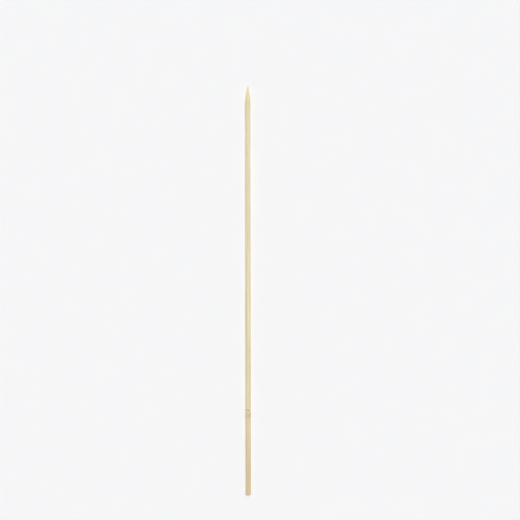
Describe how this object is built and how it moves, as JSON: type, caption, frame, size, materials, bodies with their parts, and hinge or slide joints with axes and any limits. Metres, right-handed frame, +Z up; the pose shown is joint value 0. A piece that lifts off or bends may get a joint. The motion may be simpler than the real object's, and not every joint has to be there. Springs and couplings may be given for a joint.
{
  "type": "bamboo skewer",
  "caption": "Long round bamboo stick with a ground point at one end and a square sawn end, for threading and grilling food.",
  "frame": {"origin": "halfway along the stick, on the narrow flat that it lies on", "axes": "+Y along the stick towards its point, +Z up from the flat, +X to the right seen from above"},
  "size_m": [0.0036, 0.3, 0.0035],
  "materials": {
    "bamboo": "bare milled bamboo, pale straw, with fine lengthwise fibre streaks and no lacquer"
  },
  "bodies": {
    "root": {"skewer": "bamboo"}
  },
  "joints": []
}
